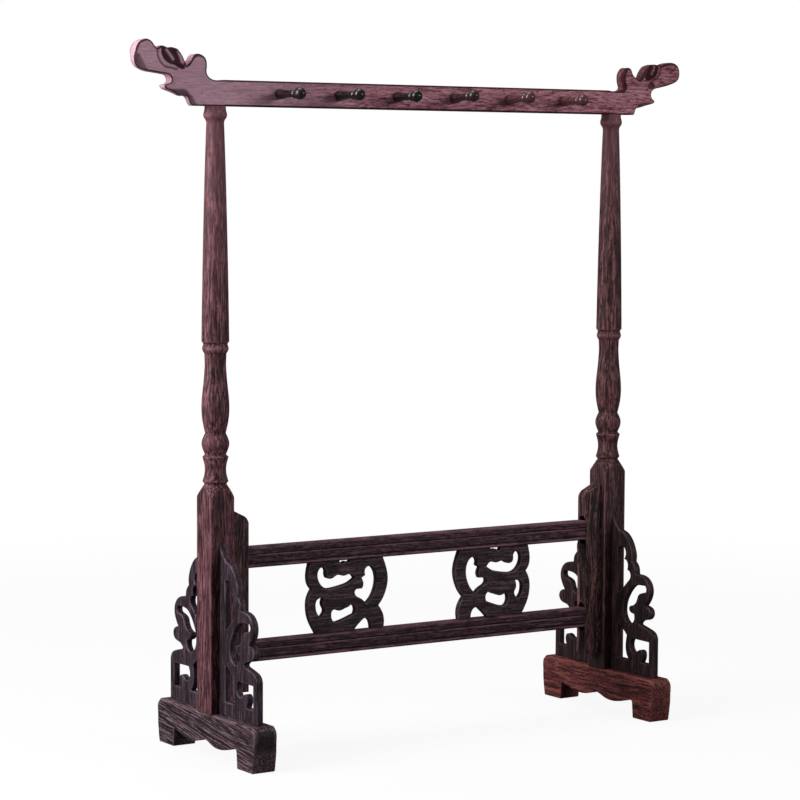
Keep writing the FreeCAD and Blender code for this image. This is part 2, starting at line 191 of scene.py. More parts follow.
# %% Floor and lamps
def stage_floor(half_width, fade_start, fade_end):
    mesh = bpy.data.meshes.new("floor")
    corners = [(x * half_width, y * half_width, 0) for x, y in ((-1, -1), (1, -1), (1, 1), (-1, 1))]
    mesh.from_pydata(corners, [], [(0, 1, 2, 3)])
    material = bpy.data.materials.new("pale_floor")
    material.use_nodes = True
    material.node_tree.nodes.clear()
    graph = Graph(material.node_tree)
    place = graph.node("ShaderNodeTexCoord", output="Object")
    distance = graph.node("ShaderNodeVectorMath", {"operation": "LENGTH"}, [place], output="Value")
    far = distance.step_between(fade_start, fade_end)
    seen = graph.node("ShaderNodeLightPath", output="Is Camera Ray")
    dim = graph.node("ShaderNodeBsdfDiffuse", {}, {"Color": (0.15, 0.15, 0.16, 1)})
    shaded = graph.node("ShaderNodeBsdfDiffuse", {}, {"Color": (0.90, 0.90, 0.90, 1)})
    white = graph.node("ShaderNodeEmission", {}, {"Color": (1, 1, 1, 1), "Strength": 1.0})
    paper = graph.node("ShaderNodeMixShader", {}, [0.90 + far * 0.10, shaded, white])
    surface = graph.node("ShaderNodeMixShader", {}, [seen, dim, paper])
    graph.node("ShaderNodeOutputMaterial", {}, {"Surface": surface})
    mesh.materials.append(material)
    in_scene("floor", mesh)


def soft_lamp(name, place, target, size, watts):
    lamp = bpy.data.lights.new(name, "AREA")
    lamp.shape = "RECTANGLE"
    lamp.size, lamp.size_y = size
    lamp.energy = watts
    holder = in_scene(name, lamp)
    holder.location = place
    holder.rotation_euler = (Vector(target) - Vector(place)).to_track_quat("-Z", "Y").to_euler()


stage_floor(6.0, 0.45, 1.1)
soft_lamp("left_softbox", (-1.05, 0.12, 0.68), (-0.1, 0, 0.36), (0.5, 0.9), 14)
soft_lamp("front_right_softbox", (0.62, -1.25, 0.66), (-0.05, 0, 0.42), (1.0, 0.30), 8)
soft_lamp("top_softbox", (-0.1, 0.3, 1.9), (0, 0, 0.22), (1.3, 1.0), 12)

world = bpy.data.worlds.new("studio")
world.use_nodes = True
bpy.context.scene.world = world
world.node_tree.nodes.clear()
graph = Graph(world.node_tree)
path = graph.node("ShaderNodeLightPath", output="Is Camera Ray")
seen_directly = path.most(path.other("Is Transmission Ray"))
ambient = graph.node("ShaderNodeBackground", {}, {"Color": (0.90, 0.93, 1.0, 1), "Strength": 0.11})
backdrop = graph.node("ShaderNodeBackground", {}, {"Color": (1, 1, 1, 1), "Strength": 1.0})
sky = graph.node("ShaderNodeMixShader", {}, [seen_directly, ambient, backdrop])
graph.node("ShaderNodeOutputWorld", {}, {"Surface": sky})
bpy.context.scene.view_settings.view_transform = "Standard"
print("lamps:", len(bpy.data.lights))

# %% [markdown]
# ## Open-grained wood
# The wood's look comes from vessels and bands that run along the grain: broad figure a few millimetres wide,
# streaks under a millimetre wide, even growth lines, thin pale lines and short open pores. Most are noises whose
# space is squeezed across the grain and stretched along it, so one recipe serves every piece once it knows the
# grain's axis. The noise is solid, so end grain shows as specks by itself. Drifts let a piece grow paler or darker
# along an axis: the crossbeam towards its left end, partly its tone and partly painted light, the posts paler at
# the top as painted light, and the right post darker towards its foot as painted shade. Two attributes that the
# meshes carry do the rest: arris is 1 on rounded edges, which are painted pale, partly as rubbed finish and partly
# as painted highlight, and hollow is 1 in carved recesses, grooves and some edges, which are painted dark as
# painted shade, with some dark polish.

# %% Wood recipe
def display_colour(levels):
    """A colour as it shows on a screen, from 0 to 255, turned into the linear values that shaders use."""
    shares = [level / 255 for level in levels]
    return tuple(c / 12.92 if c <= 0.04045 else ((c + 0.055) / 1.055) ** 2.4 for c in shares)


def stretched_noise(graph, place, grain, along, across, detail=2.0):
    """Noise with so many cycles to the metre along the grain and across it."""
    cycles = tuple(along if axis == grain else across for axis in "XYZ")
    return graph.node("ShaderNodeTexNoise", {},
                      {"Vector": graph.scaled(place, cycles), "Scale": 1.0, "Detail": detail, "Roughness": 0.55})


def growth_lines(graph, place, grain, period):
    """Even lines along the grain, from 0 to 1, that lie aslant across the end of a board."""
    first, second = [axis for axis in "XYZ" if axis != grain]
    slant = {first: 0.8, second: 0.6, grain: 0.02}
    depth = graph.node("ShaderNodeVectorMath", {"operation": "DOT_PRODUCT"},
                       [place, tuple(slant[axis] for axis in "XYZ")], output="Value")
    wander = stretched_noise(graph, place, grain, 9, 110, 2.0) * 0.0042
    turns = (depth + wander) * (2 * math.pi / period)
    return turns.math("SINE", turns) * 0.5 + 0.5


finishes = {}


def wood(name, grain, dark, ground, light, contrast=1.0, figure=0.2, growth=0.15, period=0.0016, lines=0.3,
         pores=0.7, pore_share=0.5, sway=0.004, tilt=(0, 0, 0), roughness=0.5, gloss=0.3, edge_wear_and_highlight=0.4, relief=0.35,
         run=55, drifts=()):
    """Makes a finish. Drifts are slow changes of colour: (axis, from here, to there, colour there, its share)."""
    dark, ground, light = [display_colour(levels) for levels in (dark, ground, light)]
    material = bpy.data.materials.new(name + "_wood")
    material.use_nodes = True
    material.node_tree.nodes.clear()
    graph = Graph(material.node_tree)
    object_place = graph.node("ShaderNodeTexCoord", output="Object")
    place = graph.node("ShaderNodeMapping", {}, {"Vector": object_place, "Rotation": tilt})
    bend = stretched_noise(graph, place, grain, 14, 45, 1.0).other("Color")
    bend = graph.node("ShaderNodeVectorMath", {"operation": "SUBTRACT"}, [bend, (0.5, 0.5, 0.5)])
    bend = graph.scaled(bend, (sway, sway, sway))
    place = graph.node("ShaderNodeVectorMath", {"operation": "ADD"}, [place, bend])

    broad = stretched_noise(graph, place, grain, 7, 170)
    streaks = stretched_noise(graph, place, grain, run, 1000, 3.0)
    even = growth_lines(graph, place, grain, period) * 0.34 + 0.33
    tone = broad * figure + streaks * (1 - figure - growth) + even * growth
    spread = 0.13 / contrast
    colour = graph.ramp(tone, [(0.5 - spread, dark), (0.5, ground), (0.5 + spread, light)])

    from_middle = (stretched_noise(graph, place, grain, 18, 560, 1.0) - 0.5).size()
    line_mask = (1 - from_middle / 0.035).most(0.0) * lines
    colour = graph.mix(line_mask, colour, light)

    rarity = 0.60 - 0.12 * pore_share
    open_pores = stretched_noise(graph, place, grain, 260, 1700, 1.0).step_between(rarity, rarity + 0.09)
    pore_colour = tuple(c * 0.25 for c in dark)
    colour = graph.mix(open_pores * pores, colour, pore_colour)

    for axis, here, there, tint, share in drifts:
        along = graph.node("ShaderNodeSeparateXYZ", {}, [object_place], output=axis)
        colour = graph.mix(along.step_between(here, there) * share, colour, display_colour(tint))

    # Rounded edges are painted pale in patches: partly rubbed finish, partly painted highlight.
    arris = graph.node("ShaderNodeAttribute", {"attribute_name": "arris"}, output="Fac")
    patchy = stretched_noise(graph, place, grain, 60, 160).step_between(0.30, 0.62)
    colour = graph.mix(arris * patchy * edge_wear_and_highlight, colour, tuple(min(1, c * 1.7) for c in light))
    # Hollows are painted nearly black: painted shade, with some dark polish.
    hollow = graph.node("ShaderNodeAttribute", {"attribute_name": "hollow"}, output="Fac")
    colour = graph.mix(hollow * 0.94, colour, tuple(c * 0.3 for c in dark))

    rough = roughness + streaks * 0.16 + open_pores * 0.25 + hollow * 0.1 - arris * 0.06
    height = streaks * 0.6 + broad * 0.3 - open_pores * 1.0 + line_mask * 0.3
    bump = graph.node("ShaderNodeBump", {}, {"Strength": relief, "Distance": 0.0003, "Height": height})
    skin = graph.node("ShaderNodeBsdfPrincipled", {},
                      {"Base Color": colour, "Roughness": rough, "Normal": bump, "Specular IOR Level": gloss})
    graph.node("ShaderNodeOutputMaterial", {}, {"Surface": skin})
    finishes[name] = material


pale_plum = (238, 196, 216)
painted_light_rose = (158, 106, 114)
near_black = (10, 3, 4)
# The crossbeam grows pale plum towards its left end: partly the wood's tone, partly painted light from the near left
# lamp.
wood("beam", "X", (84, 34, 42), (180, 118, 130), (216, 162, 174), contrast=0.85, figure=0.3, growth=0.1, lines=0.1,
     pore_share=0.3, roughness=0.46, gloss=0.05, edge_wear_and_highlight=0.3, run=130, drifts=[("X", -0.02, -0.16, pale_plum, 0.5)])
wood("peg", "Y", (12, 4, 6), (24, 11, 14), (58, 32, 36), roughness=0.16, gloss=0.7, relief=0.12, edge_wear_and_highlight=0.1,
     drifts=[("X", -0.01, 0.08, (112, 62, 64), 0.6)])
# Both posts grow rosier towards the top as painted light. The right post is a little darker overall and goes near
# black towards its foot, as painted shade.
wood("left_post", "Z", (30, 8, 12), (88, 48, 54), (146, 96, 104), contrast=1.35, lines=0.15, edge_wear_and_highlight=0.5, run=80,
     drifts=[("Z", 0.24, 0.40, painted_light_rose, 0.34)])
wood("right_post", "Z", (28, 8, 10), (80, 42, 46), (138, 90, 94), contrast=1.35, lines=0.15, edge_wear_and_highlight=0.5, run=80,
     drifts=[("Z", 0.30, 0.40, painted_light_rose, 0.34), ("Z", 0.24, 0.05, near_black, 0.72)])
# The right cheek and the right brackets are darker than their left twins: painted shade, where the left lamp's light
# falls off.
wood("left_cheek", "Z", (14, 3, 5), (48, 24, 28), (124, 80, 84), contrast=1.7, figure=0.4, lines=0.5, sway=0.012)
wood("right_cheek", "Z", (6, 2, 2), (28, 11, 13), (140, 92, 92), contrast=1.6, figure=0.45, lines=0.7, sway=0.016)
wood("rail", "X", (22, 8, 13), (60, 33, 43), (116, 78, 90), contrast=0.9, lines=0.25, edge_wear_and_highlight=0.8, run=110)
wood("ornament", "X", (22, 10, 13), (56, 36, 41), (104, 82, 88), lines=0.15, edge_wear_and_highlight=0.6)
wood("left_bracket", "Z", (16, 7, 11), (44, 29, 37), (90, 70, 84), contrast=1.1, lines=0.1, growth=0.0, edge_wear_and_highlight=0.8)
wood("right_bracket", "Z", (12, 4, 5), (31, 16, 18), (76, 46, 50), contrast=1.1, lines=0.1, growth=0.0, edge_wear_and_highlight=0.6)
wood("left_foot", "Y", (14, 5, 8), (49, 28, 35), (128, 102, 112), contrast=1.5, figure=0.1, growth=0.35,
     period=0.0011, lines=0.5, tilt=(math.radians(-9), 0, 0),
     drifts=[("Y", end, end * 1.017, near_black, 0.8) for end in (-0.0588, 0.0588)])
wood("right_foot", "Y", (38, 10, 10), (96, 42, 41), (142, 80, 74), contrast=1.3, growth=0.1, lines=0.3)
print("woods:", ", ".join(finishes))

# %% [markdown]
# ## Outlines
# Most pieces are sawn from thin boards along a drawn line. A drawing here is a list of runs: two points make a
# straight saw cut, and more make one smooth curve, so a corner is wherever two runs meet. A natural cubic spline
# runs the curve through its points, and the outline is sampled evenly enough for a rounded edge to follow it.

# %% Smooth runs and closed loops
def curve_through(points, step):
    """Points a step apart on the smooth curve through the given ones, without the first."""
    points = np.array(points, float)
    chords = np.linalg.norm(np.diff(points, axis=0), axis=1)
    knots = np.concatenate([[0], np.cumsum(chords)])
    count = len(points)
    matrix = np.eye(count)
    slopes = np.zeros((count, 2))
    for i in range(1, count - 1):
        matrix[i, i - 1:i + 2] = chords[i - 1], 2 * (chords[i - 1] + chords[i]), chords[i]
        slopes[i] = 6 * ((points[i + 1] - points[i]) / chords[i] - (points[i] - points[i - 1]) / chords[i - 1])
    bends = np.linalg.solve(matrix, slopes)
    places = np.linspace(0, knots[-1], max(2, round(knots[-1] / step) + 1))[1:]
    span = np.clip(np.searchsorted(knots, places) - 1, 0, count - 2)
    width = chords[span][:, None]
    left = (knots[span + 1] - places)[:, None]
    rest = (places - knots[span])[:, None]
    return ((bends[span] * left ** 3 + bends[span + 1] * rest ** 3) / (6 * width)
            + (points[span] / width - bends[span] * width / 6) * left
            + (points[span + 1] / width - bends[span + 1] * width / 6) * rest)


def closed_loop(runs, step=0.5):
    """The outline that the runs draw, in the drawing's own millimetres."""
    parts = []
    for index, run in enumerate(runs):
        start = runs[index - 1][-1]
        parts.append(curve_through([start, *run], step))
    return np.concatenate(parts)


def closed_by_mirror(half_runs, start):
    corners = [start] + [run[-1] for run in half_runs]
    back_runs = []
    for index in range(len(half_runs) - 1, -1, -1):
        points = half_runs[index][:-1][::-1] + [corners[index]]
        back_runs.append([(-across, rise) for across, rise in points])
    far_corner = (-corners[-1][0], corners[-1][1])
    return half_runs + [[far_corner]] + back_runs + ([[start]] if start[0] else [])


print("a 10 mm circle arc of", len(curve_through([(0, 0), (5, 5), (10, 0)], 0.5)), "points")

# %% [markdown]
# ## Boards with soft edges
# Beam, feet, ornaments and brackets are all boards sawn to an outline, so one function makes them. It fills the
# outline with a net of triangles that is fine near the edges, and lifts every point by its distance from the
# nearest edge, so the faces are flat and the edges round over. Carving is a depth that is taken off the face. The
# back face is the front's mirror image, and walls join the two. A board is kept as plain arrays, so that its
# mirror images need no second calculation.

# %% The carved board
def inside(points, loops):
    """Whether each point lies in the first loop but in none of the others."""
    crossings = np.zeros(len(points), int)
    x, y = points[:, :1], points[:, 1:]
    for loop in loops:
        following = np.roll(loop, -1, axis=0)
        ax, ay = loop.T
        bx, by = following.T
        straddles = (ay > y) != (by > y)
        with np.errstate(divide="ignore", invalid="ignore"):
            meets = ax + (y - ay) / (by - ay) * (bx - ax)
        crossings += (straddles & (x < meets)).sum(1)
    return crossings % 2 == 1


def distance_to_lines(points, lines, closed=True):
    """The distance from each point to the nearest of the lines."""
    best = np.full(len(points), np.inf)
    for line in lines:
        following = np.roll(line, -1, axis=0)
        starts, ends = (line, following) if closed else (line[:-1], line[1:])
        way = ends - starts
        length_squared = (way ** 2).sum(1)
        for first in range(0, len(points), 4000):
            some = points[first:first + 4000, None]
            share = np.clip(((some - starts) * way).sum(2) / length_squared, 0, 1)
            gaps = np.linalg.norm(some - starts - share[..., None] * way, axis=2).min(1)
            best[first:first + 4000] = np.minimum(best[first:first + 4000], gaps)
    return best


def inward_normals(loop):
    along = np.roll(loop, -1, axis=0) - np.roll(loop, 1, axis=0)
    normals = np.stack([-along[:, 1], along[:, 0]], 1)
    return normals / np.linalg.norm(normals, axis=1, keepdims=True)


def signed_area(loop):
    following = np.roll(loop, -1, axis=0)
    return (loop[:, 0] * following[:, 1] - following[:, 0] * loop[:, 1]).sum() / 2


def net_points(loops, round_over, patches):
    """Points for the face's triangle net: rows inside each outline, then a staggered grid in each patch."""
    rows = []
    for index, loop in enumerate(loops):
        normals = inward_normals(loop) * np.sign(signed_area(loop)) * (-1 if index else 1)
        reach = round_over(loop)[:, None]
        for share in (0.12, 0.4, 0.75, 1.0, 1.5):
            candidates = loop + normals * reach * share
            gaps = distance_to_lines(candidates, loops)
            rows.append(candidates[(gaps > 0.92 * share * reach[:, 0]) & inside(candidates, loops)])
    for low_x, low_y, high_x, high_y, pitch in patches:
        xs = np.arange(low_x, high_x, pitch)
        ys = np.arange(low_y, high_y, pitch * 0.87)
        grid_x, grid_y = np.meshgrid(xs, ys)
        grid_x[1::2] += pitch / 2
        candidates = np.stack([grid_x.ravel(), grid_y.ravel()], 1)
        candidates = candidates[inside(candidates, loops)]
        gaps = distance_to_lines(candidates, loops)
        rows.append(candidates[gaps > 1.5 * round_over(candidates) + 0.35 * pitch])
    return np.concatenate(rows)


def carved_board(loops, thickness, round_over, patches, carving=None, walls=None, unevenness=0.05):
    """A board as (corners, faces, attributes), in millimetres, with its thickness along the third axis."""
    outline = np.concatenate(loops)
    edges = []
    first = 0
    for loop in loops:
        edges += [(first + i, first + (i + 1) % len(loop)) for i in range(len(loop))]
        first += len(loop)
    points = np.concatenate([outline, net_points(loops, round_over, patches)])
    made, _, triangles, *_ = delaunay_2d_cdt([Vector(p) for p in points], edges, [], 0, 1e-5)
    net = np.array(made)
    triangles = np.array(triangles)
    triangles = triangles[inside(net[triangles].mean(1), loops)]
    used, triangles = np.unique(triangles, return_inverse=True)
    net, triangles = net[used], triangles.reshape(-1, 3)

    radius = round_over(net)
    gaps = distance_to_lines(net, loops)
    fallen = np.clip(radius - gaps, 0, None)
    heights = thickness / 2 - radius + np.sqrt(radius ** 2 - fallen ** 2)
    arris = np.clip(1 - np.abs(gaps / radius - 0.35) / 0.75, 0, 1)
    hollow = np.zeros(len(net))
    if carving:
        depth, hollow = carving(net, gaps)
        heights = heights - depth
    sway = np.array([noise.noise(Vector((x / 9, y / 9, 0))) for x, y in net]) * unevenness
    heights = heights + sway * np.clip(gaps / radius, 0, 1)

    count = len(net)
    sides = {}
    for a, b, c in triangles.tolist():
        for start, end in ((a, b), (b, c), (c, a)):
            if (end, start) in sides:
                del sides[(end, start)]
            else:
                sides[(start, end)] = True
    rim = sorted({start for start, _ in sides})
    place_in_rim = {start: i for i, start in enumerate(rim)}
    wall = net[rim]
    levels = heights[rim] * 0.75
    corners = np.concatenate([
        np.column_stack([net, heights]), np.column_stack([net, -heights]),
        np.column_stack([wall, levels]), np.column_stack([wall, -levels])])
    faces = [tuple(t) for t in triangles.tolist()]
    faces += [(c + count, b + count, a + count) for a, b, c in triangles.tolist()]
    for start, end in sides:
        rows = [(at, 2 * count + place_in_rim[at], 2 * count + len(rim) + place_in_rim[at], at + count)
                for at in (start, end)]
        for level in range(3):
            faces.append((rows[1][level], rows[0][level], rows[0][level + 1], rows[1][level + 1]))
    # Walls take a pale and a dark mark from walls(): on the ears these are painted light and painted shade.
    pale_mark, dark = walls(wall) if walls else np.zeros((2, len(rim)))
    attributes = {"arris": np.concatenate([arris, arris, pale_mark, pale_mark]),
                  "hollow": np.concatenate([hollow, hollow, dark, dark])}
    return corners, faces, attributes


def finished_mesh(name, mesh):
    """An object round a closed mesh whose faces are turned outwards."""
    bm = bmesh.new()
    bm.from_mesh(mesh)
    bmesh.ops.recalc_face_normals(bm, faces=bm.faces)
    if bm.calc_volume(signed=True) < 0:
        bmesh.ops.reverse_faces(bm, faces=bm.faces)
    bm.to_mesh(mesh)
    bm.free()
    return in_scene(name, mesh)


def mark(mesh, label, values, domain="POINT"):
    """Stores a number for each point or face, or a vector where the values come in threes."""
    values = np.asarray(values, float)
    kind, field = ("FLOAT", "value") if values.ndim == 1 else ("FLOAT_VECTOR", "vector")
    mesh.attributes.new(label, kind, domain).data.foreach_set(field, values.ravel())


def applied(piece):
    """The mesh that a piece's modifiers make of it."""
    return bpy.data.meshes.new_from_object(piece.evaluated_get(bpy.context.evaluated_depsgraph_get()))


def set_up(name, board, place):
    """Stands a board in the rack: place turns its three columns of millimetres into three of the rack's."""
    corners, faces, attributes = board
    mesh = bpy.data.meshes.new(name)
    mesh.from_pydata(np.column_stack(place(*corners.T)) * mm, [], faces)
    mesh.polygons.foreach_set("use_smooth", [True] * len(faces))
    for label, values in attributes.items():
        mark(mesh, label, values)
    return finished_mesh(name, mesh)


pieces = {}


def keep(piece, node_names, body, finish):
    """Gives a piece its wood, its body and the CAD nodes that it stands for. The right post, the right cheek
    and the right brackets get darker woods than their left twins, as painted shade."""
    piece.data.materials.clear()
    piece.data.materials.append(finishes[finish])
    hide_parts(*node_names)
    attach(piece, body)
    pieces[piece.name] = piece
    print(piece.name, len(piece.data.polygons), "faces")


print("boards are rounded over on both faces")

# %% [markdown]
# ## Crossbeam
# One board makes the beam and both ears. The ears are carved by hand, so each has a drawing of its own: its
# outline, the field of the boss that is sunk round a raised seed, grooves, and the bevels along the lower edges.
# All of it becomes one depth map, and what lies deep is also painted darker, as painted shade with some dark
# polish. Along the edges the carver left a rounded band, which is painted dark as painted shade and whose width
# changes from place to place, so the drawing lists it as (distance, height, width) and every point takes the
# width of its neighbours in that list.

# %% Crossbeam with carved ears
post_x = 148.5
beam_underside = 392.4
beam_height = 15.6
beam_thickness = 8.5
socket_depth = 10.4
socket_width = 5.2
left_and_right = ((-1, "left"), (1, "right"))

# Each ear is drawn as (distance beyond the post's axis, height above the underside of the crossbeam)
left_ear = {
    "outline": [
        [(4.2, 15.9), (5.6, 16.6), (7.0, 18.0), (7.8, 20.2), (7.6, 22.4), (7.5, 24.6), (7.9, 27.0), (9.1, 28.9),
         (11.3, 30.2), (14.0, 30.6), (16.0, 29.7), (17.3, 27.7), (18.4, 26.0), (19.7, 24.6), (21.2, 23.5)],
        [(22.0, 25.5), (23.4, 28.3), (25.2, 31.1), (27.5, 33.1), (30.2, 34.0), (33.4, 33.7)],
        [(35.2, 34.4), (37.2, 34.8), (39.2, 34.2), (40.9, 33.1)],
        [(42.3, 34.3), (43.7, 36.1), (45.5, 37.7), (47.9, 38.4), (50.4, 37.8), (52.8, 36.2), (54.4, 33.7),
         (55.2, 30.6), (55.4, 27.4), (54.9, 24.4), (53.4, 22.2), (50.9, 20.9), (46.8, 19.8), (42.3, 19.2),
         (38.6, 18.7), (34.6, 18.2), (32.4, 17.4), (31.3, 15.8), (31.2, 14.1), (32.2, 12.9), (33.9, 12.4)],
        [(35.2, 12.0), (35.7, 11.1), (35.2, 10.0), (34.0, 9.3)],
        [(31.0, 8.3), (28.4, 7.2), (26.1, 6.1), (23.9, 5.6), (21.2, 5.9)],
        [(19.7, 5.0), (18.9, 3.4), (18.1, 1.5), (16.4, 0.0)],
    ],
    "field": [(39.0, 37.0), (38.6, 29.7), (37.4, 27.3), (35.6, 25.2), (32.9, 23.8), (29.7, 23.0), (27.0, 21.5),
              (24.3, 20.5), (22.5, 21.0), (21.3, 22.6), (22.6, 24.3), (24.8, 25.2), (25.7, 27.9), (27.0, 30.6),
              (28.8, 37.0)],
    "seed": [(34.6, 32.0), (32.6, 29.7), (30.4, 26.9)],
    "grooves": [[(41.2, 33.4), (41.0, 29.7), (40.1, 27.0), (38.7, 24.7), (36.5, 22.9), (33.8, 22.0), (30.6, 21.5),
                 (27.9, 21.0)],
                [(26.2, 32.0), (24.6, 29.5), (23.2, 27.0), (22.4, 25.2)]],
    "bevels": [
        [(54.6, 30.9), (52.0, 29.3), (50.4, 27.0), (49.0, 24.3), (47.3, 21.6), (45.5, 19.8), (45.0, 16.0),
         (58.0, 16.0), (58.0, 31.0)],
        [(35.8, 12.1), (33.3, 10.3), (30.6, 9.7), (27.0, 9.9), (23.4, 9.9), (21.2, 9.2), (19.4, 7.5), (17.1, 5.7),
         (15.8, 3.9), (14.9, 2.1), (12.6, 0.2), (12.6, -3.0), (38.0, -3.0), (38.0, 12.1)],
        [(4.5, 15.6), (2.7, 14.5), (0.0, 13.9), (-2.7, 14.2), (-5.0, 15.6), (-5.0, 18.0), (4.5, 18.0)],
    ],
    "band": [(7.6, 19, 1.1), (8, 27, 1.5), (14, 30.6, 1.7), (18, 26.6, 0.7), (22.5, 26, 1.3), (27, 33, 1.2),
             (36, 34.6, 1.0), (41, 33.1, 1.0), (44, 36.6, 1.0), (48, 38.4, 1.2), (54, 34.6, 0.8), (55, 28, 0.3),
             (46, 19.7, 0.5), (37, 18.5, 0.5), (31.3, 15.1, 0.3), (35.5, 11.1, 0.3), (25, 5.7, 0.4),
             (17, 1, 0.4), (3, 15.6, 0.7), (3, 0, 0.6)],
}
right_ear = {
    "outline": [
        [(6.0, 15.9), (7.6, 17.2), (7.4, 19.0), (6.7, 21.2), (6.4, 23.4), (6.6, 25.7), (7.5, 27.9), (9.0, 29.7),
         (11.1, 30.7), (12.9, 30.1), (13.9, 28.8), (14.6, 26.8), (15.8, 25.2), (17.6, 24.0), (19.8, 23.0),
         (21.8, 23.3)],
        [(23.0, 24.9), (24.0, 27.0), (25.7, 29.7), (27.9, 31.9), (30.6, 33.1), (34.2, 33.3), (37.4, 32.9),
         (39.4, 32.6)],
        [(41.0, 33.6), (43.7, 34.5), (47.3, 34.9), (50.2, 34.3), (52.2, 32.9), (53.5, 30.2), (53.8, 27.0),
         (53.0, 24.3), (51.1, 22.4), (48.6, 21.2), (45.0, 20.0), (40.5, 18.9), (36.0, 18.0), (32.9, 17.2),
         (31.0, 16.0), (30.1, 14.4), (30.1, 12.6), (30.9, 10.9)],
        [(32.3, 9.9), (33.0, 8.8), (32.3, 7.8)],
        [(29.7, 7.0), (26.1, 6.1), (22.5, 5.0), (18.7, 4.5)],
        [(17.4, 3.7), (16.6, 1.8), (15.8, 0.0)],
    ],
    "field": [(36.2, 36.0), (36.2, 31.1), (36.0, 28.6), (34.8, 26.1), (33.0, 24.1), (30.5, 22.9), (27.5, 21.9),
              (25.5, 22.6), (24.2, 24.6), (25.0, 26.7), (26.6, 29.4), (28.4, 31.7), (29.5, 36.0)],
    "seed": [(32.6, 32.0), (32.0, 29.6), (30.6, 27.4)],
    "grooves": [[(37.6, 32.8), (37.7, 30.2), (36.9, 27.5), (35.1, 24.8), (32.9, 23.0), (29.6, 21.6)],
                [(46.4, 28.4), (48.2, 29.5), (50.0, 31.5)]],
    "bevels": [
        [(34.0, 8.9), (31.5, 8.6), (26.1, 8.8), (21.6, 8.5), (19.4, 7.5), (17.6, 5.4), (16.8, 3.0), (16.8, -3.0),
         (36.0, -3.0), (36.0, 8.9)],
        [(27.0, 17.1), (30.0, 16.8), (33.4, 17.2), (33.6, 20.2), (31.5, 22.6), (28.0, 21.9), (26.8, 19.6)],
        [(1.0, 15.6), (0.0, 14.4), (-3.0, 14.0), (-7.0, 14.2), (-10.4, 15.6), (-10.4, 18.0), (1.0, 18.0)],
    ],
    "band": [(7.8, 17, 2.4), (6.5, 23.4, 2.7), (7.5, 28, 2.3), (11, 30.7, 1.4), (13.9, 28.8, 1.2),
             (15.8, 25.2, 0.7), (19.8, 22.9, 0.8), (24, 27, 0.9), (28, 32, 0.9), (34, 33.3, 0.7),
             (39.4, 32.6, 0.9), (44, 34.5, 1.8), (50, 34.3, 1.7), (53.5, 30, 0.8), (53, 24.3, 0.9), (45, 20, 0.9),
             (36, 18, 0.6), (31, 16, 0.4), (30, 13, 0.3), (32.5, 9, 0.5), (26, 6, 0.4), (17, 3, 0.5),
             (3, 15.6, 0.7), (3, 0, 0.6)],
}


def smooth_step(values, low, high):
    share = np.clip((values - low) / (high - low), 0, 1)
    return share * share * (3 - 2 * share)


def stroke(points, line, width):
    return np.exp(-(distance_to_lines(points, [np.array(line)], closed=False) / width) ** 2)


def sunk_field(points, loop, softness):
    """1 well inside the loop, 0 outside it, with a slope along its edge."""
    loop = np.array(loop)
    return inside(points, [loop]) * np.clip(distance_to_lines(points, [loop]) / softness, 0, 1)


def band_width(points):
    """How wide the rounded band, painted dark as painted shade, is at each point of the crossbeam."""
    width = np.full(len(points), 1.15)
    for side, ear in ((-1, left_ear), (1, right_ear)):
        drawn = np.array(ear["band"])
        near = side * points[:, 0] > post_x - 4
        there = np.column_stack([side * points[near, 0] - post_x, points[near, 1]])
        weights = 1 / (np.linalg.norm(there[:, None] - drawn[:, :2], axis=2) + 0.3) ** 3
        width[near] = (weights * drawn[:, 2]).sum(1) / weights.sum(1) + 0.25
    return width


def beam_rounding(points):
    return 0.25 + 0.55 * band_width(points)


def ear_carving(points, gaps):
    """How deep the carving is at each point, and how dark it is painted there: painted shade, with some dark polish.
    """
    width = band_width(points)
    # The dark band along the rounded edges is painted shade.
    shade_and_polish = 1 - smooth_step(gaps, 0.6 * width, 1.15 * width)
    depth = np.zeros(len(points))
    for side, ear in ((-1, left_ear), (1, right_ear)):
        near = side * points[:, 0] > post_x - 12
        there = np.column_stack([side * points[near, 0] - post_x, points[near, 1]])
        seed = stroke(there, ear["seed"], 0.85)
        field = sunk_field(there, ear["field"], 0.8)
        cut = 1.1 * field * (1 - 0.85 * seed)
        # The sunk field, grooves and bevels are painted dark: painted shade, with some dark polish.
        dark = field * (1 - 0.95 * seed)
        for groove in ear["grooves"]:
            line = stroke(there, groove, 0.5)
            cut = np.maximum(cut, 0.6 * line)
            dark = np.maximum(dark, line)
        for bevel in ear["bevels"]:
            slope = sunk_field(there, bevel, 3.5)
            cut = cut + 2.1 * slope
            dark = np.maximum(dark, 0.75 * np.clip(slope * 4, 0, 1))
        depth[near] = cut
        shade_and_polish[near] = np.maximum(shade_and_polish[near], dark)
    return depth, shade_and_polish


def ear_wall_light_and_shade(points):
    """The left ear's sawn edge is painted pale as painted light from the left lamp, and the right one's dark as
    painted shade.
    """
    left, right = smooth_step(-points[:, 0], post_x + 20, post_x + 45), smooth_step(points[:, 0], post_x, post_x + 6)
    return 0.4 * left, 0.72 * right


def ear_outline(ear, side):
    return [[(side * (post_x + along), up) for along, up in run] for run in ear["outline"]]


def reversed_runs(runs, start):
    """The same line drawn from its other end."""
    corners = [start] + [run[-1] for run in runs]
    return [run[:-1][::-1] + [corners[index]] for index, run in reversed(list(enumerate(runs)))]


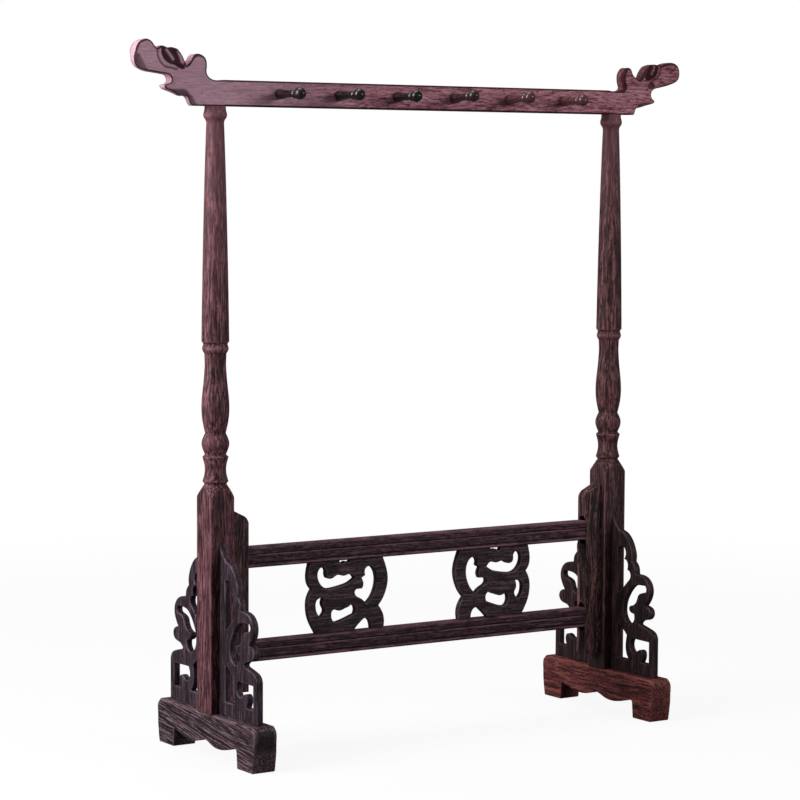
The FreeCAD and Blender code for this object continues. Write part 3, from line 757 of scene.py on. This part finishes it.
left_start = (-post_x + 4.0, beam_height)
beam_loop = closed_loop(ear_outline(right_ear, 1) + [[(-post_x - left_ear["outline"][-1][-1][0], 0.0)]]
                        + reversed_runs(ear_outline(left_ear, -1), left_start)
                        + [[(post_x - 4.0, beam_height)]], 0.45)
beam_end = post_x + 57
beam_patches = [
    (post_x - 4, 0, beam_end, 40, 0.6),
    (-beam_end, 0, -post_x + 4, 40, 0.6),
    (-post_x + 4, 0, post_x - 4, beam_height, 2.5),
]
crossbeam = set_up("carved_crossbeam",
                   carved_board([beam_loop], beam_thickness, beam_rounding, beam_patches, ear_carving,
                                ear_wall_light_and_shade),
                   lambda x, z, h: (x, -h, beam_underside + z))


def bored(piece, mouth, depth, diameter):
    """Drills a blind hole straight up from its mouth."""
    drill_mesh = bpy.data.meshes.new("drill")
    bm = bmesh.new()
    bmesh.ops.create_cone(bm, cap_ends=True, segments=48, radius1=diameter / 2, radius2=diameter / 2,
                          depth=2 * depth, matrix=Matrix.Translation(mouth))
    bm.to_mesh(drill_mesh)
    bm.free()
    drill = in_scene("drill", drill_mesh)
    cut = piece.modifiers.new("bore", "BOOLEAN")
    cut.operation = "DIFFERENCE"
    cut.solver = "EXACT"
    cut.object = drill
    piece.data = applied(piece)
    piece.modifiers.clear()
    bpy.data.objects.remove(drill)


for side, _ in left_and_right:
    bored(crossbeam, (side * post_x * mm, 0, beam_underside * mm), socket_depth * mm, socket_width * mm)
keep(crossbeam, ["crossbeam"], "crossbeam_assembly", "beam")

# %% [markdown]
# ## Turned posts
# A post is turned on a lathe, but its lower third stays square. That is a rule, so Geometry Nodes make it: each
# row of a grid takes its radius and height from one point of the drawn profile and wraps round the axis, and the
# square part only limits the radius to what the square blank allows. Where the turned cone of the shoulder meets
# the blank's flat sides, the pointed arches appear by themselves.

# %% The lathe
def geometry_graph(name, inputs, output):
    """A new Geometry Nodes tree that has only its sockets yet."""
    tree = bpy.data.node_groups.new(name, "GeometryNodeTree")
    for label, kind in inputs:
        tree.interface.new_socket(name=label, in_out="INPUT", socket_type="NodeSocket" + kind)
    tree.interface.new_socket(name=output, in_out="OUTPUT", socket_type="NodeSocketGeometry")
    return Graph(tree)


def lathe_tree():
    graph = geometry_graph("turned_on_a_lathe", (("Profile", "Geometry"), ("Sides", "Int"),
                                                 ("Blank half width", "Float"), ("Square below", "Float"),
                                                 ("Material", "Material")), "Piece")
    profile = graph.node("NodeGroupInput")
    sides = profile.other("Sides")
    rows = graph.node("GeometryNodeAttributeDomainSize", {"component": "MESH"}, [profile], output="Point Count")
    around = sides + 1
    grid = graph.node("GeometryNodeMeshGrid", {}, {"Vertices X": rows, "Vertices Y": around})
    index = graph.node("GeometryNodeInputIndex")
    row = (index / around).floor()
    angle = (index - row * around) / sides * math.tau

    def sampled(value, data_type):
        return graph.node("GeometryNodeSampleIndex", {"data_type": data_type, "domain": "POINT"},
                          {"Geometry": profile, "Value": value, "Index": row})

    spot = sampled(graph.node("GeometryNodeInputPosition"), "FLOAT_VECTOR")
    radius = graph.node("ShaderNodeSeparateXYZ", {}, [spot])
    height = radius.other("Z")
    across = angle.math("COSINE", angle)
    deep = angle.math("SINE", angle)
    blank = profile.other("Blank half width") / across.size().most(deep.size())
    turned = height.math("GREATER_THAN", height, profile.other("Square below"))
    limited = radius.least(blank + turned)
    place = graph.node("ShaderNodeCombineXYZ", {}, [limited * across, limited * deep, height])
    shaped = graph.node("GeometryNodeSetPosition", {}, {"Geometry": grid, "Position": place})
    # Crests and the blank's corners are painted pale: partly rubbed finish, partly painted highlight.
    drawn = graph.node("GeometryNodeInputNamedAttribute", {"data_type": "FLOAT"}, {"Name": "arris"})
    pale_mark = sampled(drawn, "FLOAT") * height.math("LESS_THAN", radius, blank + turned)
    shaped = graph.node("GeometryNodeStoreNamedAttribute", {"data_type": "FLOAT", "domain": "POINT"},
                        {"Geometry": shaped, "Name": "arris", "Value": pale_mark})
    closed = graph.node("GeometryNodeMergeByDistance", {}, {"Geometry": shaped, "Distance": 1e-6})
    closed = graph.node("GeometryNodeSetShadeSmooth", {}, {"Geometry": closed})
    closed = graph.node("GeometryNodeRealizeInstances", {}, [closed])
    closed = graph.node("GeometryNodeSetMaterial", {},
                        {"Geometry": closed, "Material": profile.other("Material")})
    graph.node("NodeGroupOutput", {}, [closed])
    return graph.tree


def profile_mesh(name, runs, step, to_height, arris_from=1e9):
    """A chain of vertices along drawn runs of (distance along the axis, radius), in metres. Crests are marked
    to be painted pale, partly as rubbed finish and partly as painted highlight, and so is everything from
    arris_from outwards, which is the corner of a square blank."""
    points = [runs[0][0]]
    for index in range(1, len(runs)):
        points += [tuple(p) for p in curve_through([runs[index - 1][-1], *runs[index]], step)]
    radii = np.array([radius for _, radius in points])
    crest = np.zeros(len(points))
    crest[1:-1] = np.clip((radii[1:-1] - (radii[:-2] + radii[2:]) / 2) * 12, 0, 0.8)
    mesh = bpy.data.meshes.new(name)
    spots = [(radius * mm, 0, to_height(along) * mm) for along, radius in points]
    mesh.from_pydata(spots, [(i, i + 1) for i in range(len(spots) - 1)], [])
    mark(mesh, "arris", np.where(radii >= arris_from, 1.0, crest))
    return mesh


def made_by_nodes(name, mesh, tree, values):
    """Runs a Geometry Nodes tree on a mesh and keeps what it makes as a plain mesh."""
    maker = in_scene(name, mesh)
    modifier = maker.modifiers.new(tree.name, "NODES")
    modifier.node_group = tree
    for socket in tree.interface.items_tree:
        if socket.in_out == "INPUT" and socket.name in values:
            modifier[socket.identifier] = values[socket.name]
    made = applied(maker)
    made.name = name
    bpy.data.objects.remove(maker)
    return made


# From the head down, as (distance below the crossbeam, radius)
post_turning = [
    [(-10, 0)],
    [(-10, 2.1)],
    [(-9.6, 2.5)],
    [(0, 2.5)],
    [(0, 6.4)],
    [(1.8, 6.45), (3.5, 6.85), (5.1, 7.15), (6.7, 6.75), (8.1, 5.8)],
    [(9.4, 5.4), (11.4, 5.4)],
    [(32.0, 6.1), (68.0, 7.05), (104.0, 7.8), (140.3, 8.35)],
    [(141.8, 7.25)],
    [(143.2, 7.7), (144.7, 8.0), (146.3, 7.5), (147.6, 6.65)],
    [(154.2, 6.4)],
    [(164.3, 7.1), (179.5, 8.4), (188.8, 7.7), (195.6, 6.2)],
    [(201.7, 8.35), (207.9, 6.55)],
    [(208.6, 6.55)],
    [(209.9, 7.9)],
    [(217.7, 6.4), (224.7, 7.85)],
    [(226.2, 6.6)],
    [(234.0, 11.65)],
    [(365.1, 11.65)],
    [(365.1, 0)],
]
lathe = lathe_tree()
blank_half_width = 8.45
shoulder_depth = 226.2
post_profile = profile_mesh("post_profile", post_turning, 0.55, lambda down: beam_underside - down, 11.6)
for side, name in left_and_right:
    mesh = made_by_nodes(name + "_turned_post", post_profile.copy(), lathe, {
        "Sides": 96, "Blank half width": blank_half_width * mm,
        "Square below": (beam_underside - shoulder_depth) * mm, "Material": finishes[name + "_post"]})
    mesh.transform(Matrix.Translation((side * post_x * mm, 0, 0)))
    keep(finished_mesh(mesh.name, mesh), [name + "_post"], "frame", name + "_post")

# %% [markdown]
# ## Pegs
# The six pegs are one turning, repeated: a thick collar against the beam, a slim shank for the cord, a ring and a
# ball. The same lathe turns it, and an instance goes to each seat. Such pegs are pushed in by hand, so each
# seat carries its own small turn and its own reach.

# %% Row of pegs
def peg_row_tree(lathe):
    graph = geometry_graph("pegs_on_their_seats", (("Seats", "Geometry"), ("Profile", "Object"), ("Sides", "Int"),
                                                   ("Material", "Material")), "Pegs")
    seats = graph.node("NodeGroupInput")
    profile = graph.node("GeometryNodeObjectInfo", {}, {"Object": seats.other("Profile")}, output="Geometry")
    peg = graph.node("GeometryNodeGroup", {"node_tree": lathe},
                     {"Profile": profile, "Sides": seats.other("Sides"), "Blank half width": 1.0,
                      "Square below": -1.0, "Material": seats.other("Material")})
    turn = graph.node("GeometryNodeInputNamedAttribute", {"data_type": "FLOAT_VECTOR"}, {"Name": "turn"})
    reach = graph.node("GeometryNodeInputNamedAttribute", {"data_type": "FLOAT_VECTOR"}, {"Name": "reach"})
    row = graph.node("GeometryNodeInstanceOnPoints", {},
                     {"Points": seats, "Instance": peg, "Rotation": turn, "Scale": reach})
    row = graph.node("GeometryNodeRealizeInstances", {}, [row])
    row = graph.node("GeometryNodeSetMaterial", {}, {"Geometry": row, "Material": seats.other("Material")})
    graph.node("NodeGroupOutput", {}, [row])
    return graph.tree


peg_turning = [
    [(-1.5, 0)],
    [(-1.5, 2.0)],
    [(-0.3, 2.0)],
    [(-0.3, 3.0)],
    [(0.0, 3.1), (1.6, 3.2), (3.6, 3.0)],
    [(6.0, 2.6), (9.5, 2.3), (13.5, 2.15), (16.8, 2.15)],
    [(17.1, 2.8)],
    [(17.6, 3.0), (18.1, 2.8)],
    [(19.0, 2.4)],
    [(20.5, 3.25), (22.7, 3.7), (25.1, 2.65), (26.25, 0.8)],
    [(26.4, 0)],
]
# x of each seat, how far its head leans up and aside in degrees, and its reach against the drawn one
peg_seats = [(-106.5, 0.0, 0.5, 1.06), (-64.1, 0.4, -0.6, 1.02), (-21.8, 0.5, 0.4, 0.97),
             (20.8, 3.2, -0.5, 0.97), (63.5, 2.8, 0.6, 0.99), (106.4, 0.2, -0.3, 0.93)]
seat_mesh = bpy.data.meshes.new("peg_seats")
seat_height = beam_underside + beam_height / 2
seat_mesh.from_pydata([(x * mm, -beam_thickness / 2 * mm, seat_height * mm) for x, *_ in peg_seats], [], [])
turns = [(math.radians(90 - lean), math.radians(aside), 0) for _, lean, aside, _ in peg_seats]
mark(seat_mesh, "turn", turns)
mark(seat_mesh, "reach", [(1, 1, reach) for *_, reach in peg_seats])
peg_profile = in_scene("peg_profile", profile_mesh("peg_profile", peg_turning, 0.35, lambda out: out))
pegs = made_by_nodes("turned_pegs", seat_mesh, peg_row_tree(lathe), {
    "Profile": peg_profile, "Sides": 40, "Material": finishes["peg"]})
bpy.data.objects.remove(peg_profile)
keep(finished_mesh("turned_pegs", pegs), ["peg_%d" % (i + 1) for i in range(len(peg_seats))],
     "crossbeam_assembly", "peg")

# %% [markdown]
# ## Rails and cheeks
# The CAD shapes of the rails and cheeks are right, mouldings and mortises included, and only too crisp. A copy
# is merged back into whole faces and every sharp edge gets a small bevel, as a scraper leaves it. The bevel's
# faces are marked to be painted pale, partly as rubbed finish and partly as painted highlight. On the rails a list
# of heights says which parts of the moulding stand proud and are painted pale too, and which are grooves that are
# painted dark as painted shade.

# %% Softened copies
def softened_copy(node_name, name, width, moulding=()):
    """A copy of a CAD piece with bevels of that width. Moulding lists (mark, from height, to height, amount)."""
    bm = bmesh.new()
    bm.from_mesh(nodes[node_name].data)
    bmesh.ops.remove_doubles(bm, verts=bm.verts, dist=1e-6)
    bmesh.ops.dissolve_limit(bm, angle_limit=math.radians(1.0), verts=bm.verts, edges=bm.edges)
    mesh = bpy.data.meshes.new(name)
    bm.to_mesh(mesh)
    bm.free()
    mesh.materials.clear()
    for _ in range(2):
        mesh.materials.append(None)
    copy = in_scene(name, mesh)
    bevel = copy.modifiers.new("scraped", "BEVEL")
    bevel.width = width * mm
    bevel.segments = 3
    bevel.limit_method = "ANGLE"
    bevel.angle_limit = math.radians(28)
    bevel.material = 1
    softened = applied(copy)
    bpy.data.objects.remove(copy)
    softened.name = name
    bevelled = [face.material_index == 1 for face in softened.polygons]
    marks = {"arris": list(bevelled), "hollow": [0] * len(bevelled)}
    underside = min(vertex.co.z for vertex in softened.vertices)
    for face in softened.polygons:
        height = (face.center.z - underside) / mm
        for label, lowest, highest, amount in moulding:
            if lowest < height < highest:
                marks["arris"][face.index] = 0
                marks[label][face.index] = amount
    softened.polygons.foreach_set("material_index", [0] * len(bevelled))
    softened.polygons.foreach_set("use_smooth", bevelled)
    for label, amounts in marks.items():
        mark(softened, label, amounts, "FACE")
    return finished_mesh(name, softened)


rail_bevel = 0.22
cheek_bevel = 0.6
# Proud parts of the rails' moulding are painted pale, as painted highlight with some rubbed finish, and its grooves
# dark, as painted shade.
rail_moulding_shading = [("hollow", -1, 0.6, 0.8), ("arris", 0.6, 1.9, 0.8), ("hollow", 2.2, 3.1, 1.0),
                 ("arris", 6.9, 7.7, 0.9), ("hollow", 7.7, 8.6, 1.0), ("arris", 11.3, 13, 0.5)]
for level in ("upper", "lower"):
    keep(softened_copy(level + "_rail", level + "_moulded_rail", rail_bevel, rail_moulding_shading), [level + "_rail"],
         "frame", "rail")
for _, name in left_and_right:
    keep(softened_copy(name + "_cheek", name + "_post_cheek", cheek_bevel), [name + "_cheek"], "frame",
         name + "_cheek")

# %% [markdown]
# ## Ornaments and brackets
# The fretwork is sawn from thin board: an outline, and the holes that pierce it. Each is drawn once, and the
# others are its mirror images. The edges are rounded over far enough to catch the light, as fingers and
# sandpaper leave them.

# %% Fretwork
ornament_outline = [
    [(2.7, 4.7), (3.8, 9.7), (6.9, 14.7)],
    [(4.3, 18.0), (1.5, 23.7), (0.0, 31.2), (0.9, 37.7), (3.8, 45.7)],
    [(27.5, 45.7)],
    [(28.8, 44.2), (31.5, 44.6), (34.3, 43.3), (36.0, 45.7)],
    [(57.3, 45.7)],
    [(58.9, 37.2), (57.5, 30.7), (55.8, 28.5)],
    [(58.3, 23.4), (59.0, 17.6), (57.8, 10.2), (52.6, 0.0)],
    [(25.3, 0.0)],
    [(22.0, 3.5), (19.5, 5.7), (17.3, 7.1), (14.8, 6.5), (13.1, 4.2), (12.3, 0.0)],
    [(3.1, 0.0)],
]
ornament_holes = [
    [
        [(26.5, 35.5), (28.5, 36.2), (32.0, 35.4), (37.5, 36.2), (40.0, 34.9), (42.8, 34.2), (45.0, 35.0)],
        [(45.8, 37.4), (45.8, 39.7), (47.4, 41.6), (49.8, 41.4), (51.6, 38.5), (51.4, 34.9), (48.5, 30.2),
         (45.5, 28.5), (40.5, 28.4), (32.5, 29.8), (29.3, 30.7), (24.8, 33.4)],
    ],
    [
        [(11.3, 39.0), (8.9, 34.0), (8.9, 28.2), (10.3, 23.7), (12.8, 19.5), (16.0, 16.5)],
        [(18.8, 19.2), (21.5, 20.8), (23.8, 22.4), (24.4, 25.0), (23.3, 26.2)],
        [(19.0, 26.3)],
        [(18.1, 29.2), (19.4, 33.2)],
        [(16.7, 34.7)],
        [(17.2, 37.2), (16.2, 39.4), (13.5, 40.5)],
    ],
    [
        [(52.3, 21.2), (53.1, 17.6), (51.8, 12.8), (49.5, 10.2)],
        [(46.8, 15.0), (48.0, 17.4), (48.3, 19.7), (47.5, 22.4)],
        [(49.5, 22.7)],
    ],
    [
        [(24.5, 15.0), (24.1, 12.7), (24.7, 10.6)],
        [(32.5, 7.8), (36.5, 6.7), (39.5, 6.7), (41.2, 8.5), (41.7, 11.2), (41.0, 13.7), (39.3, 14.6)],
        [(35.5, 13.4), (31.5, 14.6), (28.7, 15.6), (27.3, 16.8)],
        [(26.3, 16.7)],
    ],
]
bracket_outline = [
    [(44.9, 0.0)],
    [(44.9, 25.7)],
    [(43.4, 28.7), (39.9, 30.7), (34.4, 32.1), (29.9, 33.1)],
    [(29.2, 33.9), (29.9, 34.7)],
    [(31.9, 36.1), (36.1, 37.1), (39.6, 38.5), (41.2, 41.0), (40.8, 43.7), (38.6, 45.6), (35.1, 46.4)],
    [(36.9, 48.7), (38.9, 52.0), (39.9, 56.2), (38.6, 60.7), (35.4, 64.0), (30.4, 65.7), (25.3, 66.0)],
    [(24.6, 70.4), (21.5, 73.9)],
    [(21.8, 76.9), (20.6, 82.0), (16.9, 88.2), (12.0, 92.0), (7.6, 93.3)],
    [(3.4, 97.6), (0.0, 103.2)],
    [(0.0, 0.0)],
]
bracket_holes = [
    [
        [(14.3, 79.9), (14.2, 76.7), (12.7, 74.7)],
        [(15.9, 73.2), (16.8, 70.8), (16.1, 67.7)],
        [(18.8, 66.6), (19.6, 63.7), (16.9, 60.2), (11.9, 55.7), (6.9, 52.2)],
        [(6.9, 82.2)],
        [(12.9, 82.2)],
    ],
    [
        [(27.9, 59.1), (23.9, 58.3), (19.9, 55.7), (16.4, 51.7), (13.9, 47.7), (12.4, 43.2), (12.4, 39.2),
         (13.9, 35.7), (16.9, 33.0), (20.4, 32.7), (22.9, 34.2), (24.2, 36.7), (23.9, 39.5)],
        [(20.9, 40.0), (18.9, 41.7), (18.9, 43.7), (21.9, 44.9)],
        [(24.9, 46.7), (26.9, 49.7), (28.3, 52.6), (31.1, 54.1), (35.7, 55.2)],
        [(36.5, 57.3), (35.4, 59.3)],
    ],
    [
        [(39.9, 23.0)],
        [(21.9, 23.2)],
        [(20.3, 19.8), (21.2, 15.9), (23.9, 14.2), (26.9, 15.0), (29.9, 16.7), (32.4, 16.4), (33.5, 14.0),
         (33.2, 11.2), (31.9, 8.7)],
        [(39.9, 8.7)],
    ],
    [
        [(12.9, 27.7), (16.4, 24.7)],
        [(15.6, 20.6), (15.5, 15.6), (16.7, 11.8), (18.9, 8.7)],
        [(6.9, 8.7)],
        [(6.9, 31.0)],
    ],
]
fret_thickness = 4.5
fret_pitch = 1.1
ornament_drawn_height = 45.7
ornament_inner_edge = 25.5
bay_bottom = 68.8
bay_height = 44.95
foot_height = 27.3


def fret_rounding(points):
    return np.full(len(points), 0.8)


ornament_board = carved_board([closed_loop(runs) for runs in [ornament_outline, *ornament_holes]],
                              fret_thickness, fret_rounding, [(0, 0, 60, 46, fret_pitch)])
for side, name in left_and_right:
    ornament = set_up(name + "_fretted_ornament", ornament_board,
                      lambda x, z, h: (side * (ornament_inner_edge + x), -h,
                                       bay_bottom + z * bay_height / ornament_drawn_height))
    keep(ornament, [name + "_ornament"], "frame", "ornament")

bracket_board = carved_board([closed_loop(runs) for runs in [bracket_outline, *bracket_holes]],
                             fret_thickness, fret_rounding, [(0, 0, 46, 104, fret_pitch)])
for side, name in left_and_right:
    for facing, end in ((-1, "front"), (1, "back")):
        bracket = set_up("%s_%s_fretted_bracket" % (name, end), bracket_board,
                         lambda y, z, h: (side * post_x + h, facing * (blank_half_width + y), foot_height + z))
        keep(bracket, ["%s_%s_bracket" % (name, end)], "frame", name + "_bracket")

# %% [markdown]
# ## Feet
# A foot is a short sledge: two pads with a scalloped arch between them, and ends that swell above the pads. It is
# the same kind of board as the fretwork, only thick, and rounded over where hands lift it.

# %% Feet
foot_thickness = 15.8
foot_half_outline = [
    [(3.55, 10.36), (9.1, 8.6), (16.6, 7.7), (24.1, 8.45), (31.2, 10.0), (37.1, 11.4)],
    [(38.05, 11.05), (38.55, 10.2)],
    [(39.5, 0)],
    [(57.3, 0)],
    [(58.8, 9.0), (60.0, 18.6), (59.6, 24.3), (56.5, 27.3)],
]


def foot_rounding(points):
    return 0.5 + 0.9 * smooth_step(points[:, 1], 11, 19)


foot_loop = closed_loop(closed_by_mirror(foot_half_outline, (0, 11.4)), 0.6)
foot_board = carved_board([foot_loop], foot_thickness, foot_rounding, [(-60, 0, 60, 28, 1.6)], unevenness=0.12)
for side, name in left_and_right:
    foot = set_up(name + "_sledge_foot", foot_board, lambda y, z, h: (side * post_x + h, y, z))
    keep(foot, [name + "_foot"], "frame", name + "_foot")

# %% Sizes and the end
print("pieces:", len(pieces), "faces:", sum(len(p.data.polygons) for p in pieces.values()))
